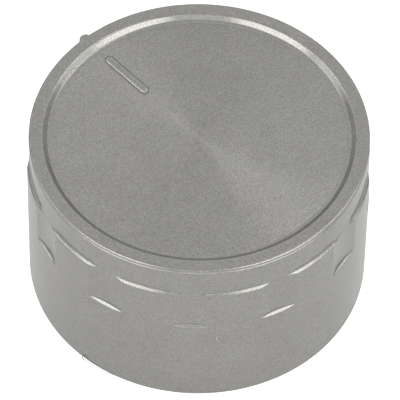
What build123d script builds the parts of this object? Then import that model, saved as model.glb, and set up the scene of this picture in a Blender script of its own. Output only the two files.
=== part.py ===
"""Dishwasher programme knob: a hollow moulded cap with its hub, and the clamp ring on the hub.

Millimetres. The origin is the centre of the base plane, +Z runs up the shaft axis to the
disc, and +Y is the direction of the pointer.
"""
import math
import os

from build123d import *

# Cap
wall_radius = 22.5  # grip wall and skirt
cap_height = 26.7  # base plane to the top of the rim
wall_thickness = 1.9
top_thickness = 2.2
inner_draft = 0.4  # how much the inside narrows from the base to the ceiling
ceiling_bevel = 1.2
base_bevel = 0.25

# Rim and the disc sunk in it
rim_lip = 0.05  # rim radius less neck radius
rim_width = 1.74  # rim radius less the top of the slope round the disc
rim_height = 0.42  # top of the rim to the seam groove under it
rim_round = 0.25
seam_width = 0.3
seam_depth = 0.15
disc_depth = 0.68
disc_slope_width = 0.68
disc_slope_round = 1.0  # at the top of the slope

# Neck, and the ledge where the grip wall starts
ledge_depth = 0.36  # wall radius less neck radius
ledge_drop = 4.85  # top of the rim to the top of the ledge
ledge_slope = 52.0  # degrees from the vertical, on every ledge

# Flutes of the grip wall
flute_count = 12
flute_depth = 0.34
flute_floor_width = 4.4
flute_flank_angle = 25.0  # degrees from the floor
flute_end_drop = 11.85  # top of the rim to the lowest point of a flute
flute_blend = 0.35

# Pointer bar on the disc, and the index rib behind it on the neck
pointer_length = 8.0
pointer_width = 1.2
pointer_height = 0.3
pointer_bevel = 0.12
pointer_gap = 1.72  # outer end of the bar to the edge of the disc
index_rib_radius = 0.85
index_rib_reach = 0.85  # how far the rib stands out of the neck
index_rib_bevel = 0.3
index_rib_drop = 0.45  # top of the rim to the top of the rib

# Hub and ribs under the cap
hub_radius = 5.4
hub_setback = 1.5  # base plane to the free end of the hub
hub_bevel = 0.8  # at the root of the hub
hub_chamfer = 0.5  # at its free end
rib_count = 4
rib_thickness = 1.2
rib_height = 9.0  # ceiling to the free edge of a rib

# Shaft that the knob is pushed on
shaft_radius = 3.0
shaft_flat_offset = 1.6  # axis to the flat of the shaft
shaft_clearance = 0.05
socket_lead_length = 5.0  # round entry, below the flat
socket_lead_clearance = 0.25
socket_grip_length = 11.0  # length with the flat
socket_chamfer = 0.4
hub_slot_width = 1.2
hub_slot_length = 13.0

# Clamp ring
ring_thickness = 0.6
ring_width = 4.0
ring_gap = 2.4
ring_clearance = 0.05
groove_depth = 0.5
groove_setback = 2.0  # free end of the hub to the groove

# Places that follow from the sizes above
disc_height = cap_height - disc_depth
ceiling_height = disc_height - top_thickness
neck_radius = wall_radius - ledge_depth
rim_radius = neck_radius + rim_lip
disc_radius = rim_radius - rim_width - disc_slope_width
seam_bottom = cap_height - rim_height - seam_width
inner_base_radius = wall_radius - wall_thickness
inner_top_radius = inner_base_radius - inner_draft
socket_radius = shaft_radius + shaft_clearance
lead_radius = shaft_radius + socket_lead_clearance
socket_flat_offset = shaft_flat_offset + shaft_clearance
flat_height = hub_setback + socket_lead_length
socket_end_height = flat_height + socket_grip_length
groove_radius = hub_radius - groove_depth
groove_bottom = hub_setback + groove_setback
groove_top = groove_bottom + ring_width + 2 * ring_clearance
flute_floor_offset = wall_radius - flute_depth
slope_run = math.tan(math.radians(ledge_slope))  # outward run for each unit of fall

# Flute cutter: a shallow trough in plan, ended below by a slope and run out above the ledge
cutter_reach = 2 * flute_depth
cutter_outer = wall_radius + cutter_reach
flank_spread = (flute_depth + cutter_reach) / math.tan(math.radians(flute_flank_angle))
flute_slope_foot = cap_height - flute_end_drop + flute_depth / slope_run
flute_slope_end = cap_height - flute_end_drop - cutter_reach / slope_run
flute_top = cap_height - ledge_drop + ledge_depth

with BuildPart() as flute_cutter:
    with BuildSketch(Plane.XY.offset(flute_slope_end)):
        with BuildLine():
            Polyline(
                (flute_floor_offset, -flute_floor_width / 2),
                (cutter_outer, -flute_floor_width / 2 - flank_spread),
                (cutter_outer, flute_floor_width / 2 + flank_spread),
                (flute_floor_offset, flute_floor_width / 2),
                close=True,
            )
        make_face()
    extrude(amount=flute_top - flute_slope_end)
    with BuildSketch(Plane.XZ):
        with BuildLine():
            FilletPolyline(
                (flute_floor_offset, flute_top),
                (flute_floor_offset, flute_slope_foot),
                (cutter_outer, flute_slope_end),
                (cutter_outer, flute_top),
                radius=[0, flute_blend, 0, 0],
                close=True,
            )
        make_face()
    extrude(amount=flute_floor_width + flank_spread, both=True, mode=Mode.INTERSECT)

# Shaft socket: a round lead, the bore with its flat past it, and the slots of the hub
with BuildPart() as shaft_socket:
    with BuildSketch(Plane.XZ):
        with BuildLine():
            Polyline(
                (0, hub_setback),
                (lead_radius + socket_chamfer, hub_setback),
                (lead_radius, hub_setback + socket_chamfer),
                (lead_radius, flat_height),
                (socket_radius, flat_height),
                (socket_radius, socket_end_height),
                (0, socket_end_height),
                close=True,
            )
        make_face()
    revolve(axis=Axis.Z)
    with BuildSketch(Plane.XY.offset(flat_height)):
        with Locations((0, socket_flat_offset)):
            Rectangle(2 * socket_radius, socket_radius, align=(Align.CENTER, Align.MIN))
    extrude(amount=socket_grip_length, mode=Mode.SUBTRACT)
    with BuildSketch(Plane.XY.offset(hub_setback)):
        Rectangle(2 * hub_radius + hub_slot_width, hub_slot_width)
    extrude(amount=hub_slot_length)

# Index rib: an upright half-round on the neck, from the ledge to the rim
with BuildPart() as index_rib:
    with BuildSketch(Plane.XY.offset(cap_height - ledge_drop - ledge_depth)):
        with Locations((0, neck_radius + index_rib_reach - index_rib_radius)):
            Circle(index_rib_radius)
    extrude(amount=ledge_drop + ledge_depth - index_rib_drop)
    chamfer(index_rib.edges().group_by(Axis.Z)[-1], index_rib_bevel)

# Knob body: cap, neck, grip wall, hub and ribs in one moulding
outline = [
    # point on the half section, corner radius
    ((0, disc_height), 0),
    ((disc_radius, disc_height), 0),
    ((disc_radius + disc_slope_width, cap_height), disc_slope_round),
    ((rim_radius, cap_height), rim_round),
    ((rim_radius, cap_height - rim_height), 0),
    ((neck_radius - seam_depth, (cap_height - rim_height + seam_bottom) / 2), 0),
    ((neck_radius, seam_bottom), 0),
    ((neck_radius, cap_height - ledge_drop), 0),
    ((wall_radius, cap_height - ledge_drop - ledge_depth / slope_run), 0),
    ((wall_radius, base_bevel), 0),
    ((wall_radius - base_bevel, 0), 0),
    ((inner_base_radius + base_bevel, 0), 0),
    ((inner_base_radius, base_bevel), 0),
    ((inner_top_radius, ceiling_height - ceiling_bevel), 0),
    ((inner_top_radius - ceiling_bevel, ceiling_height), 0),
    ((hub_radius + hub_bevel, ceiling_height), 0),
    ((hub_radius, ceiling_height - hub_bevel), 0),
    ((hub_radius, groove_top), 0),
    ((groove_radius, groove_top), 0),
    ((groove_radius, groove_bottom), 0),
    ((hub_radius, groove_bottom), 0),
    ((hub_radius, hub_setback + hub_chamfer), 0),
    ((hub_radius - hub_chamfer, hub_setback), 0),
    ((0, hub_setback), 0),
]

with BuildPart() as knob_body:
    with BuildSketch(Plane.XZ):
        with BuildLine():
            FilletPolyline(*[point for point, _ in outline], radius=[r for _, r in outline], close=True)
        make_face()
    revolve(axis=Axis.Z)

    # Ribs stand on the diagonals, between hub and wall
    with BuildSketch(Plane.XY.offset(ceiling_height)):
        with PolarLocations(0, rib_count, start_angle=180 / rib_count):
            with Locations((hub_radius - hub_bevel, 0)):
                Rectangle(
                    inner_top_radius + wall_thickness / 2 - hub_radius + hub_bevel,
                    rib_thickness,
                    align=(Align.MIN, Align.CENTER),
                )
    extrude(amount=-rib_height)
    add(shaft_socket.part, mode=Mode.SUBTRACT)

    add(index_rib.part)

    # Pointer bar
    with BuildSketch(Plane.XY.offset(disc_height)):
        with Locations((0, disc_radius - pointer_gap - pointer_length / 2)):
            SlotOverall(pointer_length, pointer_width, rotation=90)
    extrude(amount=pointer_height)
    bar_top = knob_body.faces(Select.LAST).group_by(Axis.Z)[-1]
    chamfer(bar_top.edges(), pointer_bevel)

    # Flutes, half a pitch from the pointer
    with PolarLocations(0, flute_count, start_angle=90 + 180 / flute_count):
        add(flute_cutter.part, mode=Mode.SUBTRACT)
knob_body.part.label = "knob_body"

# Clamp ring: a split band of spring steel in the groove of the hub
with BuildPart() as clamp_ring:
    ring_inner_radius = groove_radius + ring_clearance
    with BuildSketch(Plane.XY.offset(groove_bottom + ring_clearance)):
        Circle(ring_inner_radius + ring_thickness)
        Circle(ring_inner_radius, mode=Mode.SUBTRACT)
        with Locations((0, -ring_inner_radius)):
            Rectangle(ring_gap, 4 * ring_thickness, mode=Mode.SUBTRACT)
    extrude(amount=ring_width)
    ring_ends = clamp_ring.edges().filter_by(Axis.Z)
    fillet(ring_ends, 0.3 * ring_thickness)
clamp_ring.part.label = "clamp_ring"

os.makedirs("parts", exist_ok=True)
export_step(knob_body.part, "parts/knob_body.step")
export_step(clamp_ring.part, "parts/clamp_ring.step")
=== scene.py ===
import bpy
import bmesh
from math import atan2, cos, hypot, pi, radians, sin, sqrt, tan
from mathutils import Matrix, Vector


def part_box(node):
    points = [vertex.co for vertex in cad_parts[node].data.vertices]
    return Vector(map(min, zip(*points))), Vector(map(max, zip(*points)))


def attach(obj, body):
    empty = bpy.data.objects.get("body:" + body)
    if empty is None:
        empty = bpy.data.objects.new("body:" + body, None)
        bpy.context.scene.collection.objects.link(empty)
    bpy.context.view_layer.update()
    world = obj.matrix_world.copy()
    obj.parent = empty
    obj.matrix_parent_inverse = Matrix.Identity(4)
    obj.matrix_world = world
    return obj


# Dishwasher knob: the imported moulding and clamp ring, dressed with their paint, light and floor.
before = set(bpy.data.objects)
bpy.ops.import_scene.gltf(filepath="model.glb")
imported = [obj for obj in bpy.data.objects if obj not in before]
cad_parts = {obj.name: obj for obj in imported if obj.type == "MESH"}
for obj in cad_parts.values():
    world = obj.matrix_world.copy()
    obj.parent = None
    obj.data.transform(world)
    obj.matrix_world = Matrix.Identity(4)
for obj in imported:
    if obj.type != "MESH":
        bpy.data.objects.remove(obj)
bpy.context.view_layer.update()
mm = 0.001
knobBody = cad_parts["knob_body"]
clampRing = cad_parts["clamp_ring"]
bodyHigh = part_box("knob_body")[1]
capHeight = bodyHigh.z
wallRadius = bodyHigh.x
cameraTurn = radians(-43.5)  # of the camera's side, round the shaft axis
noiseRange = (0.3, 0.7)  # where most of a noise texture's values lie


# Small helpers
def link(obj):
    bpy.context.scene.collection.objects.link(obj)
    return obj


def meshPiece(name, build):
    bm = bmesh.new()
    build(bm)
    mesh = bpy.data.meshes.new(name)
    bm.to_mesh(mesh)
    bm.free()
    return link(bpy.data.objects.new(name, mesh))


def node(tree, kind, **values):
    made = tree.nodes.new(kind)
    for key, value in values.items():
        setattr(made, key, value)
    return made


def feed(tree, target, value):
    # a socket goes in as a link, anything else as the socket's own value
    if isinstance(value, bpy.types.NodeSocket):
        tree.links.new(value, target)
    else:
        target.default_value = value


def mathNode(tree, operation, *values):
    made = node(tree, "ShaderNodeMath", operation=operation)
    for slot, value in zip(made.inputs, values):
        feed(tree, slot, value)
    return made.outputs[0]


def axes(tree, vector):
    parts = node(tree, "ShaderNodeSeparateXYZ")
    feed(tree, parts.inputs[0], vector)
    return parts.outputs


def fromAxis(tree, x, y):
    # distance from the shaft axis
    squares = mathNode(tree, "ADD", mathNode(tree, "MULTIPLY", x, x), mathNode(tree, "MULTIPLY", y, y))
    return mathNode(tree, "SQRT", squares)


def ramp(tree, value, fromLow, fromHigh, toLow=0.0, toHigh=1.0):
    made = node(tree, "ShaderNodeMapRange")
    for name, put in (("Value", value), ("From Min", fromLow), ("From Max", fromHigh),
                      ("To Min", toLow), ("To Max", toHigh)):
        feed(tree, made.inputs[name], put)
    return made.outputs["Result"]


def noise(tree, position, scale, detail=2.0):
    made = node(tree, "ShaderNodeTexNoise")
    feed(tree, made.inputs["Vector"], position)
    feed(tree, made.inputs["Scale"], scale)
    made.inputs["Detail"].default_value = detail
    return made.outputs["Fac"]


def mixColour(tree, factor, first, second):
    made = node(tree, "ShaderNodeMix", data_type="RGBA")
    for place, value in ((0, factor), (6, first), (7, second)):
        feed(tree, made.inputs[place], value)
    return made.outputs[2]


def shaded(tone, level=1.0):
    return (*[part * level for part in tone], 1)


def newMaterial(name):
    material = bpy.data.materials.new(name)
    material.use_nodes = True
    tree = material.node_tree
    return material, tree, tree.nodes["Principled BSDF"]


def newGroup(name, kind, inputs, outputs):
    tree = bpy.data.node_groups.new(name, kind)
    for title, socket, value in inputs:
        made = tree.interface.new_socket(name=title, in_out="INPUT", socket_type=socket)
        if value is not None:
            made.default_value = value
    for title, socket in outputs:
        tree.interface.new_socket(name=title, in_out="OUTPUT", socket_type=socket)
    return tree, tree.nodes.new("NodeGroupInput"), tree.nodes.new("NodeGroupOutput")


def useGroup(tree, group, values):
    made = node(tree, "ShaderNodeGroup", node_tree=group)
    for key, value in values.items():
        feed(tree, made.inputs[key], value)
    return made


# Finishes that more than one material uses
def paintGrainGroup():
    # speckle of the metal flakes, broad cloudiness of the sprayed film and the height of its skin
    tree, start, end = newGroup("paintGrain", "ShaderNodeTree",
                                [("Position", "NodeSocketVector", None),
                                 ("Flake Size", "NodeSocketFloat", 0.11 * mm),
                                 ("Cloud Size", "NodeSocketFloat", 3.5 * mm),
                                 ("Skin Size", "NodeSocketFloat", 0.35 * mm)],
                                [("Flakes", "NodeSocketFloat"), ("Clouds", "NodeSocketFloat"),
                                 ("Skin", "NodeSocketFloat")])
    position = start.outputs["Position"]
    flakeScale, cloudScale, skinScale = [mathNode(tree, "DIVIDE", 1.0, start.outputs[name])
                                         for name in ("Flake Size", "Cloud Size", "Skin Size")]
    flakes = node(tree, "ShaderNodeTexVoronoi", feature="F1")
    feed(tree, flakes.inputs["Vector"], position)
    feed(tree, flakes.inputs["Scale"], flakeScale)
    tone = node(tree, "ShaderNodeSeparateColor")
    tree.links.new(flakes.outputs["Color"], tone.inputs[0])
    tree.links.new(tone.outputs[0], end.inputs["Flakes"])
    tree.links.new(noise(tree, position, cloudScale, 3.0), end.inputs["Clouds"])
    tree.links.new(noise(tree, position, skinScale), end.inputs["Skin"])
    return tree


def turnedRingsGroup():
    # fine rings left by the turning tool, inside a radius and between two heights
    tree, start, end = newGroup("turnedRings", "ShaderNodeTree",
                                [("Position", "NodeSocketVector", None),
                                 ("Pitch", "NodeSocketFloat", 0.28 * mm),
                                 ("Outer Radius", "NodeSocketFloat", 19.5 * mm),
                                 ("Fade", "NodeSocketFloat", 0.3 * mm),
                                 ("Lowest", "NodeSocketFloat", 26 * mm),
                                 ("Highest", "NodeSocketFloat", 26.4 * mm)],
                                [("Height", "NodeSocketFloat")])
    take = start.outputs
    x, y, z = axes(tree, take["Position"])
    radius = fromAxis(tree, x, y)
    turns = mathNode(tree, "DIVIDE", radius, take["Pitch"])
    wave = mathNode(tree, "SINE", mathNode(tree, "MULTIPLY", turns, 2 * pi))
    inside = ramp(tree, radius, take["Outer Radius"],
                  mathNode(tree, "SUBTRACT", take["Outer Radius"], take["Fade"]))
    above = mathNode(tree, "GREATER_THAN", z, take["Lowest"])
    below = mathNode(tree, "LESS_THAN", z, take["Highest"])
    mask = mathNode(tree, "MULTIPLY", inside, mathNode(tree, "MULTIPLY", above, below))
    tree.links.new(mathNode(tree, "MULTIPLY", wave, mask), end.inputs["Height"])
    return tree


paintGrain = paintGrainGroup()
turnedRings = turnedRingsGroup()

silverPaint = {
    "tone": (0.318, 0.313, 0.294),
    "metallic": 0.85,
    "roughness": 0.21,
    "roughnessSpread": 0.02,
    "flakeSize": 0.11 * mm,
    "flakeDepth": 0.2,  # how much the flakes vary in tone
    "cloudSize": 3.5 * mm,
    "cloudDepth": 0.03,
    "skinSize": 0.35 * mm,
    "skinHeight": 0.0008 * mm,
    "ringPitch": 0.28 * mm,
    "ringHeight": 0.013 * mm,  # half of trough to crest
    "ringShadeAndHighlight": 0.04,  # painted shade and painted highlight: how much darker the troughs and brighter the crests are coloured
    "ringsInside": 19.5 * mm,  # radius of the turned part of the disc
}


def silverPaintInto(tree, shader, look):
    position = node(tree, "ShaderNodeTexCoord").outputs["Object"]
    grain = useGroup(tree, paintGrain, {"Position": position, "Flake Size": look["flakeSize"],
                                        "Cloud Size": look["cloudSize"], "Skin Size": look["skinSize"]})
    rings = useGroup(tree, turnedRings, {"Position": position, "Pitch": look["ringPitch"],
                                         "Outer Radius": look["ringsInside"]})
    flakes, clouds, skin = grain.outputs
    wave = rings.outputs["Height"]

    # tone, with painted shade in the ring troughs and painted highlight on the ring crests
    bright = ramp(tree, flakes, 0, 1, 1 - look["flakeDepth"], 1 + look["flakeDepth"])
    cloudy = ramp(tree, clouds, *noiseRange, 1 - look["cloudDepth"], 1 + look["cloudDepth"])
    # painted shade and highlight: the ring wave darkens the colour in the troughs and lightens it on the
    # crests of the turned rings
    turned = mathNode(tree, "ADD", 1.0, mathNode(tree, "MULTIPLY", wave, look["ringShadeAndHighlight"]))
    level = mathNode(tree, "MULTIPLY", mathNode(tree, "MULTIPLY", bright, cloudy), turned)
    colour = node(tree, "ShaderNodeVectorMath", operation="SCALE")
    colour.inputs[0].default_value = look["tone"]
    tree.links.new(level, colour.inputs["Scale"])
    rough = ramp(tree, clouds, *noiseRange, look["roughness"] - look["roughnessSpread"],
                 look["roughness"] + look["roughnessSpread"])

    # relief
    height = mathNode(tree, "ADD", mathNode(tree, "MULTIPLY", skin, look["skinHeight"]),
                      mathNode(tree, "MULTIPLY", wave, look["ringHeight"]))
    bump = node(tree, "ShaderNodeBump")
    bump.inputs["Strength"].default_value = 1.0
    bump.inputs["Distance"].default_value = 1.0
    tree.links.new(height, bump.inputs["Height"])
    tree.links.new(bump.outputs["Normal"], shader.inputs["Normal"])
    shader.inputs["Metallic"].default_value = look["metallic"]
    return colour.outputs[0], rough, position


coatPaint, coatTree, coatShader = newMaterial("silverPaint")
coatColour, coatRough, _ = silverPaintInto(coatTree, coatShader, silverPaint)
feed(coatTree, coatShader.inputs["Base Color"], coatColour)
feed(coatTree, coatShader.inputs["Roughness"], coatRough)

# Silver coat on the outside of the cap
coat = {
    "film": 0.03 * mm,  # stands this far off the moulding
    "sunk": 0.35 * mm,  # its inner face lies this deep in the moulding
    "discRadius": 19.74 * mm,
    "discDepth": 0.68 * mm,
    "slopeWidth": 0.72 * mm,  # of the slope round the disc
    "slopeHollow": 0.45 * mm,
    "slopeCrest": 0.5 * mm,
    "rimLip": 0.05 * mm,
    "rimHeight": 0.42 * mm,
    "rimRound": 0.33 * mm,
    "seamWidth": 0.3 * mm,
    "seamDepth": 0.15 * mm,
    "seamTopRound": 0.05 * mm,
    "seamFloorRound": 0.04 * mm,
    "seamRound": 0.15 * mm,
    "ledgeDepth": 0.36 * mm,
    "ledgeDrop": 4.85 * mm,
    "ledgeHollow": 0.4 * mm,
    "ledgeRound": 0.15 * mm,
    "slope": radians(52),  # of every ledge, from the vertical
    "baseRound": 0.28 * mm,
    "fluteCount": 12,
    "fluteDepth": 0.34 * mm,
    "fluteFloor": 0.4 * mm,
    "fluteWidth": 5.3 * mm,
    "fluteDrop": 11.85 * mm,
    "edgeSoftness": 0.06 * mm,
    "edgeInset": 0.3 * mm,  # middle of the close columns, in from a flute's edge
    "edgeWidth": radians(2.2),  # half the width of the close columns
    "weld": 0.001 * mm,  # points nearer than this are joined
    "columns": 44,  # of quads across each flute's share of the wall
    "fluteRows": (-0.12 * mm, 0.45 * mm, 20),  # close rows from and to, about the flutes' ends, and how many
    "ledgeRows": (-0.5 * mm, 0.15 * mm, 22),  # the same about the ledge
    "wallRows": (1 * mm, 14),  # lowest of the wide rows, and how many up to the ledge's
}


def offsetLine(points, distance):
    # the same open line, moved to its left by a distance
    moved = []
    ways = [((b[0] - a[0]), (b[1] - a[1])) for a, b in zip(points, points[1:])]
    ways = [(x / hypot(x, y), y / hypot(x, y)) for x, y in ways]
    normals = [(-y, x) for x, y in ways]
    for i, (r, z) in enumerate(points):
        first = normals[max(i - 1, 0)]
        second = normals[min(i, len(normals) - 1)]
        share = distance / (1 + first[0] * second[0] + first[1] * second[1])
        moved.append((r + (first[0] + second[0]) * share, z + (first[1] + second[1]) * share))
    return moved


def roundedLine(points, radii, steps=8, guard=0.02 * mm):
    # arcs at the corners, with a guard point either side so that the flats shade flat
    line = [points[0]]
    for i in range(1, len(points) - 1):
        p = Vector(points[i])
        back = (Vector(points[i - 1]) - p).normalized()
        on = (Vector(points[i + 1]) - p).normalized()
        half = back.angle(on) / 2
        reach = radii[i] / tan(half)
        centre = p + (back + on).normalized() * (radii[i] / sin(half))
        a, b = p + back * reach, p + on * reach
        first, last = a - centre, b - centre
        turn = first.angle_signed(last)
        line.append(tuple(a + back * guard))
        for k in range(steps + 1):
            angle = -turn * k / steps
            line.append((centre.x + first.x * cos(angle) - first.y * sin(angle),
                         centre.y + first.x * sin(angle) + first.y * cos(angle)))
        line.append(tuple(b + on * guard))
    line.append(points[-1])
    return line


def addRows(line, low, high, count, minRadius):
    # extra points where the outer wall passes between two heights
    nearby = 0.001 * mm
    rows = []
    for (r0, z0), (r1, z1) in zip(line, line[1:]):
        rows.append((r0, z0))
        if min(r0, r1) > minRadius and z1 < z0:
            for k in range(count + 1):
                z = high + (low - high) * k / count
                if z0 - nearby > z > z1 + nearby:
                    rows.append((r0 + (r1 - r0) * (z - z0) / (z1 - z0), z))
    rows.append(line[-1])
    return rows


def coatProfile(c):
    run = tan(c["slope"])
    neck = wallRadius - c["ledgeDepth"]
    rim = neck + c["rimLip"]
    disc = capHeight - c["discDepth"]
    slopeTop = c["discRadius"] + c["slopeWidth"]
    seamTop = capHeight - c["rimHeight"]
    ledge = capHeight - c["ledgeDrop"]
    fluteEnd = capHeight - c["fluteDrop"]
    corners = [
        # point on the half section, corner radius
        ((0, disc), 0),
        ((c["discRadius"], disc), c["slopeHollow"]),
        ((slopeTop, capHeight), c["slopeCrest"]),
        ((rim, capHeight), c["rimRound"]),
        ((rim, seamTop), c["seamTopRound"]),
        ((neck - c["seamDepth"], seamTop - c["seamWidth"] / 2), c["seamFloorRound"]),
        ((neck, seamTop - c["seamWidth"]), c["seamRound"]),
        ((neck, ledge), c["ledgeHollow"]),
        ((wallRadius, ledge - c["ledgeDepth"] / run), c["ledgeRound"]),
        ((wallRadius, 0), c["baseRound"]),
        ((wallRadius - c["baseRound"], 0), 0),
    ]
    outer = offsetLine([point for point, _ in corners], c["film"])
    outer[-2] = (outer[-2][0], 0)
    outer[-1] = (outer[-1][0], 0)
    line = roundedLine(outer, [radius for _, radius in corners])

    # rows of points that the flutes are sunk with
    for place, (low, high, count) in ((fluteEnd, c["fluteRows"]), (ledge, c["ledgeRows"])):
        line = addRows(line, place + low, place + high, count, neck)
    line = addRows(line, c["wallRows"][0], ledge + c["ledgeRows"][0], c["wallRows"][1], neck)

    # back inside the moulding
    s = c["sunk"]
    inner = [(wallRadius - c["baseRound"] - s / 2, s), (wallRadius - 2 * s, 2 * s),
             (wallRadius - 2 * s, ledge - 2 * s), (rim - s, ledge), (rim - s, capHeight - s),
             (slopeTop, capHeight - s), (c["discRadius"], disc - s), (0, disc - s)]
    return line + inner


def profileObject(name, line):
    def build(bm):
        verts = [bm.verts.new((r, 0, z)) for r, z in line]
        for a, b in zip(verts, verts[1:]):
            bm.edges.new((a, b))
    return meshPiece(name, build)


def flutedCoatTree():
    # turns a profile about the shaft axis and sinks the flutes in it
    inputs = [("Geometry", "NodeSocketGeometry", None), ("Flute Count", "NodeSocketInt", 12),
              ("Columns", "NodeSocketInt", 44), ("Start Angle", "NodeSocketFloat", 0.0),
              ("Floor Distance", "NodeSocketFloat", 22 * mm), ("Half Floor", "NodeSocketFloat", 0.2 * mm),
              ("Scoop Radius", "NodeSocketFloat", 12 * mm), ("End Height", "NodeSocketFloat", 15 * mm),
              ("End Run", "NodeSocketFloat", 1.3), ("Film", "NodeSocketFloat", 0.03 * mm),
              ("Softness", "NodeSocketFloat", 0.06 * mm), ("Edge Angle", "NodeSocketFloat", 0.1),
              ("Edge Width", "NodeSocketFloat", 0.04), ("Weld", "NodeSocketFloat", 0.001 * mm),
              ("Paint", "NodeSocketMaterial", None)]
    outputs = [("Geometry", "NodeSocketGeometry")]
    tree, start, end = newGroup("flutedCoat", "GeometryNodeTree", inputs, outputs)
    take = start.outputs

    def calc(operation, *values):
        return mathNode(tree, operation, *values)

    size = node(tree, "GeometryNodeAttributeDomainSize", component="MESH")
    tree.links.new(take["Geometry"], size.inputs[0])
    rows = size.outputs["Point Count"]
    total = calc("MULTIPLY", take["Flute Count"], take["Columns"])
    grid = node(tree, "GeometryNodeMeshGrid")
    feed(tree, grid.inputs["Vertices X"], calc("ADD", total, 1))
    feed(tree, grid.inputs["Vertices Y"], rows)
    across, along, _ = axes(tree, node(tree, "GeometryNodeInputPosition").outputs[0])
    column = calc("ROUND", calc("MULTIPLY", calc("ADD", across, 0.5), total))
    row = calc("ROUND", calc("MULTIPLY", calc("ADD", along, 0.5), calc("SUBTRACT", rows, 1)))

    # angle from the middle of the nearest flute, with the columns close together at its edges
    innerShare, outerShare = 0.3, 0.75  # of the columns, where the close ones start and end
    nudge = 0.01  # of a column, keeps the first one of a flute in that flute
    flute = calc("FLOOR", calc("DIVIDE", calc("ADD", column, nudge), take["Columns"]))
    within = calc("SUBTRACT", calc("DIVIDE", column, take["Columns"]), flute)
    side = calc("SUBTRACT", calc("MULTIPLY", within, 2), 1)
    away = calc("ABSOLUTE", side)
    halfPitch = calc("DIVIDE", pi, take["Flute Count"])
    nearEdge = calc("SUBTRACT", take["Edge Angle"], take["Edge Width"])
    farEdge = calc("ADD", take["Edge Angle"], take["Edge Width"])
    floorPart = ramp(tree, away, 0.0, innerShare, 0.0, nearEdge)
    edgePart = ramp(tree, away, innerShare, outerShare, 0.0, calc("SUBTRACT", farEdge, nearEdge))
    wallPart = ramp(tree, away, outerShare, 1.0, 0.0, calc("SUBTRACT", halfPitch, farEdge))
    angle = calc("ADD", floorPart, calc("ADD", edgePart, wallPart))
    middle = calc("MULTIPLY", calc("ADD", flute, 0.5), calc("MULTIPLY", halfPitch, 2))
    signed = calc("MULTIPLY", angle, calc("SIGN", side))
    around = calc("ADD", calc("ADD", middle, signed), calc("SUBTRACT", take["Start Angle"], halfPitch))

    # point of the profile for this row
    sample = node(tree, "GeometryNodeSampleIndex", data_type="FLOAT_VECTOR")
    tree.links.new(take["Geometry"], sample.inputs["Geometry"])
    tree.links.new(node(tree, "GeometryNodeInputPosition").outputs[0], sample.inputs["Value"])
    tree.links.new(row, sample.inputs["Index"])
    radius, _, height = axes(tree, sample.outputs[0])

    # a flute: a shallow scoop with a narrow floor, and the slope at its end
    cosine, sine = calc("COSINE", angle), calc("SINE", angle)
    beyond = calc("MAXIMUM", calc("SUBTRACT", calc("MULTIPLY", radius, sine), take["Half Floor"]), 0)
    rising = calc("DIVIDE", calc("MULTIPLY", beyond, beyond), calc("MULTIPLY", take["Scoop Radius"], 2))
    scoopAt = calc("DIVIDE", calc("ADD", calc("ADD", take["Floor Distance"], take["Film"]), rising), cosine)
    run = take["End Run"]
    endFilm = calc("MULTIPLY", take["Film"], calc("SQRT", calc("ADD", 1, calc("MULTIPLY", run, run))))
    rise = calc("MULTIPLY", calc("SUBTRACT", take["End Height"], height), run)
    endAt = calc("DIVIDE", calc("ADD", calc("ADD", take["Floor Distance"], rise), endFilm), cosine)
    trough = calc("SMOOTH_MAX", scoopAt, endAt, take["Softness"])
    cut = calc("SMOOTH_MIN", radius, trough, take["Softness"])

    spot = node(tree, "ShaderNodeCombineXYZ")
    feed(tree, spot.inputs[0], calc("MULTIPLY", cut, calc("COSINE", around)))
    feed(tree, spot.inputs[1], calc("MULTIPLY", cut, calc("SINE", around)))
    feed(tree, spot.inputs[2], height)
    put = node(tree, "GeometryNodeSetPosition")
    tree.links.new(grid.outputs["Mesh"], put.inputs["Geometry"])
    tree.links.new(spot.outputs[0], put.inputs["Position"])
    turn = node(tree, "GeometryNodeFlipFaces")
    tree.links.new(put.outputs[0], turn.inputs[0])
    merge = node(tree, "GeometryNodeMergeByDistance")
    tree.links.new(turn.outputs[0], merge.inputs["Geometry"])
    tree.links.new(take["Weld"], merge.inputs["Distance"])
    smooth = node(tree, "GeometryNodeSetShadeSmooth")
    tree.links.new(merge.outputs[0], smooth.inputs["Geometry"])
    real = node(tree, "GeometryNodeRealizeInstances")
    tree.links.new(smooth.outputs[0], real.inputs[0])
    dress = node(tree, "GeometryNodeSetMaterial")
    tree.links.new(real.outputs[0], dress.inputs["Geometry"])
    tree.links.new(take["Paint"], dress.inputs["Material"])
    tree.links.new(dress.outputs[0], end.inputs["Geometry"])
    return tree


def grow(obj, tree, values):
    # runs a node tree on an object and leaves the result as a plain mesh
    modifier = obj.modifiers.new(tree.name, "NODES")
    modifier.node_group = tree
    for item in tree.interface.items_tree:
        if item.item_type == "SOCKET" and item.in_out == "INPUT" and item.name in values:
            modifier[item.identifier] = values[item.name]
    bpy.context.view_layer.update()
    grown = bpy.data.meshes.new_from_object(obj.evaluated_get(bpy.context.evaluated_depsgraph_get()))
    obj.modifiers.remove(modifier)
    obj.data = grown
    return obj


def scoopOf(c):
    # radius at which a flute's scoop rises from its floor to the wall over its width
    spread = (c["fluteWidth"] - c["fluteFloor"]) / 2
    bulge = wallRadius - sqrt(wallRadius ** 2 - (c["fluteWidth"] / 2) ** 2)
    return spread ** 2 / (2 * (c["fluteDepth"] - bulge))


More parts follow.
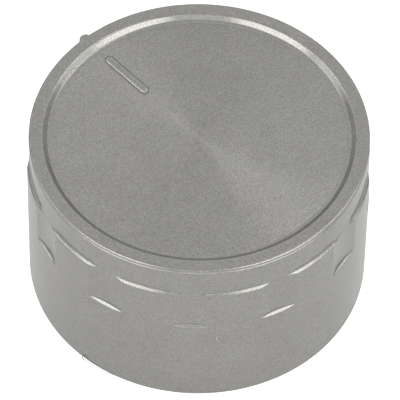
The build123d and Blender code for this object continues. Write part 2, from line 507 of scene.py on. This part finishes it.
silverCoat = grow(profileObject("silver_coat", coatProfile(coat)), flutedCoatTree(), {
    "Flute Count": coat["fluteCount"],
    "Columns": coat["columns"],
    "Start Angle": pi / 2 + pi / coat["fluteCount"],  # half a pitch from the pointer
    "Floor Distance": wallRadius - coat["fluteDepth"],
    "Half Floor": coat["fluteFloor"] / 2,
    "Scoop Radius": scoopOf(coat),
    "End Height": capHeight - coat["fluteDrop"] + coat["fluteDepth"] / tan(coat["slope"]),
    "End Run": tan(coat["slope"]),
    "Film": coat["film"],
    "Softness": coat["edgeSoftness"],
    "Edge Angle": atan2(coat["fluteWidth"] / 2 - coat["edgeInset"], wallRadius),
    "Edge Width": coat["edgeWidth"],
    "Weld": coat["weld"],
    "Paint": coatPaint,
})
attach(silverCoat, "root")
print("silver coat:", len(silverCoat.data.vertices), "points", len(silverCoat.data.polygons), "faces")

# Coat of the pointer bar and of the index rib
pointer = {
    "halfWidth": 0.64 * mm,
    "halfLength": 3.4 * mm,  # between the middles of its round ends
    "middle": 14.05 * mm,  # from the axis to the middle of the bar
    "foot": 25.9 * mm,
    "shoulder": 26.08 * mm,  # where its side starts to turn in
    "top": 26.48 * mm,
    "flat": 0.0,  # half the width of its flat top
}
indexRib = {
    "halfWidth": 0.88 * mm,
    "halfLength": 0.0,
    "middle": 22.14 * mm,
    "foot": 21.2 * mm,
    "shoulder": 26.0 * mm,
    "top": 26.45 * mm,
    "flat": 0.4 * mm,
}


def barCoat(name, b, steps=12, around=24):
    # a bar with round ends and a domed top, along the pointer's direction
    tip = 0.001 * mm  # keeps the crest of a dome without a flat from closing to a line
    rows = [(b["halfWidth"], b["foot"])]
    for k in range(steps + 1):
        turn = pi / 2 * k / steps
        rows.append((b["flat"] + (b["halfWidth"] - b["flat"]) * cos(turn) + tip,
                     b["shoulder"] + (b["top"] - b["shoulder"]) * sin(turn)))
    stops = around + 1 if b["halfLength"] > 0 else around

    def build(bm):
        loops = []
        for radius, z in rows:
            loop = []
            for side, start in ((1, 0), (-1, pi)):
                for k in range(stops):
                    angle = start + pi * k / around
                    y = b["middle"] + side * b["halfLength"] + radius * sin(angle)
                    loop.append(bm.verts.new((radius * cos(angle), y, z)))
            loops.append(loop)
        for low, high in zip(loops, loops[1:]):
            for i in range(len(low)):
                j = (i + 1) % len(low)
                bm.faces.new((low[i], low[j], high[j], high[i])).smooth = True
        bm.faces.new(loops[-1])
        bm.faces.new(loops[0][::-1])
    piece = meshPiece(name, build)
    piece.data.materials.append(coatPaint)
    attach(piece, "root")


barCoat("pointer_coat", pointer)
barCoat("index_rib_coat", indexRib)
print("pointer and index rib coated")

# Flash under the base edge and a chip on the wall
flash = {
    # degrees from the camera's side, then distance from the axis, height and half thickness in mm
    "curl": [(-40.95, 22.46, 0.60, 0.02), (-41.0, 22.58, 0.62, 0.06), (-41.05, 22.72, 0.50, 0.07),
             (-41.0, 22.80, 0.34, 0.07), (-40.6, 22.80, 0.20, 0.05), (-39.6, 22.76, 0.13, 0.035),
             (-37.0, 22.72, 0.10, 0.03), (-34.0, 22.70, 0.09, 0.03), (-31.0, 22.66, 0.08, 0.025),
             (-28.6, 22.46, 0.08, 0.02)],
    "chip": [(6.9, 22.50, 12.9, 0.02), (6.95, 22.53, 12.65, 0.045), (7.05, 22.54, 12.25, 0.05),
             (7.35, 22.53, 11.9, 0.03), (7.7, 22.53, 11.6, 0.045), (7.85, 22.50, 11.35, 0.02)],
    "chipTone": (0.5, 0.49, 0.47),
    "chipShade": 0.85,  # of its darkest grains
    "chipGrain": 0.09 * mm,
    "chipRoughness": (0.45, 0.55),
}


def sliver(name, points, material, sides=8):
    # a thin bent thread of plastic, closed at both ends
    spine = []
    for turn, radius, height, half in points:
        a = cameraTurn + radians(turn)
        spine.append((Vector((radius * sin(a), -radius * cos(a), height)) * mm, half * mm))

    def build(bm):
        rings = []
        for i, (spot, half) in enumerate(spine):
            along = (spine[min(i + 1, len(spine) - 1)][0] - spine[max(i - 1, 0)][0]).normalized()
            side = along.cross(Vector((spot.x, spot.y, 0)).normalized()).normalized()
            out = side.cross(along)
            turns = [2 * pi * k / sides for k in range(sides)]
            rings.append([bm.verts.new(spot + out * half * cos(turn) + side * half * sin(turn))
                          for turn in turns])
        for one, two in zip(rings, rings[1:]):
            for k in range(sides):
                j = (k + 1) % sides
                bm.faces.new((one[k], one[j], two[j], two[k])).smooth = True
        bm.faces.new(rings[0][::-1])
        bm.faces.new(rings[-1])
        bmesh.ops.recalc_face_normals(bm, faces=bm.faces)
    piece = meshPiece(name, build)
    piece.data.materials.append(material)
    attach(piece, "root")


def chipMaterial(f):
    material, tree, shader = newMaterial("chippedPaint")
    position = node(tree, "ShaderNodeTexCoord").outputs["Object"]
    grain = useGroup(tree, paintGrain, {"Position": position, "Flake Size": f["chipGrain"]})
    flakes, clouds, _ = grain.outputs
    colour = mixColour(tree, flakes, shaded(f["chipTone"], f["chipShade"]), shaded(f["chipTone"]))
    feed(tree, shader.inputs["Base Color"], colour)
    feed(tree, shader.inputs["Roughness"], ramp(tree, clouds, *noiseRange, *f["chipRoughness"]))
    return material


sliver("base_flash", flash["curl"], coatPaint)
sliver("wall_chip", flash["chip"], chipMaterial(flash))
print("base flash and wall chip made")

# Moulding: paint outside, bare inside
moulding = {
    "bareTone": (0.33, 0.33, 0.32),
    "bareShade": 0.94,  # of its darkest specks
    "speckSize": 0.6 * mm,
    "speckRange": (0.35, 0.65),
    "bareRoughness": 0.5,
    "sprayEdge": wallRadius - 1.7 * mm,  # paint reaches in to this radius round the base
    "sprayFade": 0.15 * mm,
    "ceiling": capHeight - 2.5 * mm,
}


def mouldingMaterial(m):
    material, tree, shader = newMaterial("paintedMoulding")
    colour, _, position = silverPaintInto(tree, shader, silverPaint)
    x, y, z = axes(tree, position)
    outside = ramp(tree, fromAxis(tree, x, y), m["sprayEdge"] - m["sprayFade"],
                   m["sprayEdge"] + m["sprayFade"])
    onTop = mathNode(tree, "GREATER_THAN", z, m["ceiling"])
    painted = mathNode(tree, "MAXIMUM", outside, onTop)
    specks = ramp(tree, noise(tree, position, 1 / m["speckSize"]), *m["speckRange"])
    bare = mixColour(tree, specks, shaded(m["bareTone"], m["bareShade"]), shaded(m["bareTone"]))
    feed(tree, shader.inputs["Base Color"], mixColour(tree, painted, bare, colour))
    feed(tree, shader.inputs["Roughness"],
         ramp(tree, painted, 0, 1, m["bareRoughness"], silverPaint["roughness"]))
    feed(tree, shader.inputs["Metallic"], mathNode(tree, "MULTIPLY", painted, silverPaint["metallic"]))
    return material


knobBody.data.materials.clear()
knobBody.data.materials.append(mouldingMaterial(moulding))

# Clamp ring: plain spring steel
spring = {
    "tone": (0.56, 0.56, 0.55),
    "shade": 0.8,  # of its darkest rolling lines
    "lineSpacing": 0.05 * mm,
    "lineLength": 16.667 * mm,
    "roughness": (0.24, 0.4),
}


def springMaterial(s):
    material, tree, shader = newMaterial("springSteel")
    stretch = node(tree, "ShaderNodeMapping")
    feed(tree, stretch.inputs["Vector"], node(tree, "ShaderNodeTexCoord").outputs["Object"])
    stretch.inputs["Scale"].default_value = (1 / s["lineLength"], 1 / s["lineLength"], 1 / s["lineSpacing"])
    lines = noise(tree, stretch.outputs[0], 1.0, 3.0)
    feed(tree, shader.inputs["Base Color"],
         mixColour(tree, lines, shaded(s["tone"], s["shade"]), shaded(s["tone"])))
    feed(tree, shader.inputs["Roughness"], ramp(tree, lines, *noiseRange, *s["roughness"]))
    shader.inputs["Metallic"].default_value = 1.0
    return material


clampRing.data.materials.clear()
clampRing.data.materials.append(springMaterial(spring))
print("moulding and clamp ring dressed")

# Camera
view = {
    "elevation": radians(51.67),
    "roll": radians(1.072),
    "distance": 579.4 * mm,  # from the middle of the rim
    "sensor": 36,
    "lens": 401.2,
    "drop": 8.56 * mm,  # how far below the middle of the rim the camera aims
    "aside": 0.077 * mm,
}


def wayTo(turn, rise):
    # direction from the knob, by azimuth from the front and by elevation
    return Vector((sin(turn) * cos(rise), -cos(turn) * cos(rise), sin(rise)))


def makeCamera(v):
    back = wayTo(cameraTurn, v["elevation"])
    level = Vector((cos(cameraTurn), sin(cameraTurn), 0))
    upright = back.cross(level)
    right = cos(v["roll"]) * level + sin(v["roll"]) * upright
    up = cos(v["roll"]) * upright - sin(v["roll"]) * level
    rimMiddle = Vector((0, 0, capHeight))
    target = rimMiddle - up * v["drop"] + right * v["aside"]
    eye = rimMiddle + back * v["distance"]
    forward = (target - eye).normalized()
    side = forward.cross(up).normalized()
    data = bpy.data.cameras.new("view")
    data.sensor_width = v["sensor"]
    data.lens = v["lens"]
    data.clip_start = 0.01
    data.clip_end = 20
    camera = link(bpy.data.objects.new("view", data))
    camera.matrix_world = Matrix((side, side.cross(forward), -forward)).transposed().to_4x4()
    camera.location = eye
    bpy.context.scene.camera = camera


makeCamera(view)

# Floor and light
studio = {
    "floorSize": 3.0,
    "floorGap": 0.02 * mm,  # keeps the floor out of the plane of the base
    "floorTone": (0.62, 0.62, 0.62, 1),
    "floorShown": 0.72,  # added for the camera, so that the floor shows white
    "floorMirrored": 0.205,  # added where gloss shows the floor
    # sine of the elevation, level of the sky there
    "sky": [(0.0, 0.55), (0.3, 0.5), (0.45, 0.75), (0.6, 1.12), (0.72, 0.82), (0.85, 0.80), (1.0, 0.75)],
    "softboxes": {
        # degrees round from the camera's side and up, then distance and size in metres, and power
        "left": (-47, 30, 0.9, 0.8, 3.05),
        "right": (47, 30, 0.9, 0.8, 3.05),
        "sideLeft": (-98, 35, 0.9, 0.5, 0.62),
        "sideRight": (98, 35, 0.9, 0.5, 0.6),
        "front": (0, 33, 0.9, 0.34, 0.3),
        "topRight": (112, 62, 0.9, 0.4, 0.45),
    },
}


def makeFloor(s):
    def build(bm):
        bmesh.ops.create_grid(bm, x_segments=8, y_segments=8, size=s["floorSize"] / 2)
        bmesh.ops.translate(bm, verts=bm.verts, vec=(0, 0, -s["floorGap"]))
    floor = meshPiece("floor", build)
    material, tree, shader = newMaterial("paleFloor")
    tree.nodes.remove(shader)
    matte = node(tree, "ShaderNodeBsdfDiffuse")
    matte.inputs["Color"].default_value = s["floorTone"]
    glow = node(tree, "ShaderNodeEmission")
    path = node(tree, "ShaderNodeLightPath").outputs
    straight = mathNode(tree, "MAXIMUM", path["Is Camera Ray"], path["Is Transmission Ray"])
    seen = mathNode(tree, "MULTIPLY", straight, s["floorShown"])
    mirrored = mathNode(tree, "MULTIPLY", path["Is Glossy Ray"], s["floorMirrored"])
    feed(tree, glow.inputs["Strength"], mathNode(tree, "ADD", seen, mirrored))
    both = node(tree, "ShaderNodeAddShader")
    tree.links.new(matte.outputs[0], both.inputs[0])
    tree.links.new(glow.outputs[0], both.inputs[1])
    tree.links.new(both.outputs[0], tree.nodes["Material Output"].inputs["Surface"])
    floor.data.materials.append(material)


def makeSky(s):
    world = bpy.data.worlds.new("studio")
    bpy.context.scene.world = world
    world.use_nodes = True
    tree = world.node_tree
    height = axes(tree, node(tree, "ShaderNodeTexCoord").outputs["Generated"])[2]
    shade = node(tree, "ShaderNodeValToRGB")
    stops = shade.color_ramp.elements
    while len(stops) < len(s["sky"]):
        stops.new(0.5)
    for stop, (at, level) in zip(stops, s["sky"]):
        stop.position = at
        stop.color = (level, level, level, 1)
    tree.links.new(height, shade.inputs[0])
    tree.links.new(shade.outputs[0], tree.nodes["Background"].inputs["Color"])


def makeSoftboxes(s):
    for name, (turn, rise, away, size, power) in s["softboxes"].items():
        way = wayTo(cameraTurn + radians(turn), radians(rise))
        data = bpy.data.lights.new("softbox_" + name, "AREA")
        data.shape = "DISK"
        data.size = size
        data.energy = power
        lamp = link(bpy.data.objects.new("softbox_" + name, data))
        lamp.location = way * away
        lamp.rotation_euler = way.to_track_quat("Z", "Y").to_euler()


makeFloor(studio)
makeSky(studio)
makeSoftboxes(studio)
bpy.context.scene.view_settings.view_transform = "Standard"
print("camera, floor and light ready")
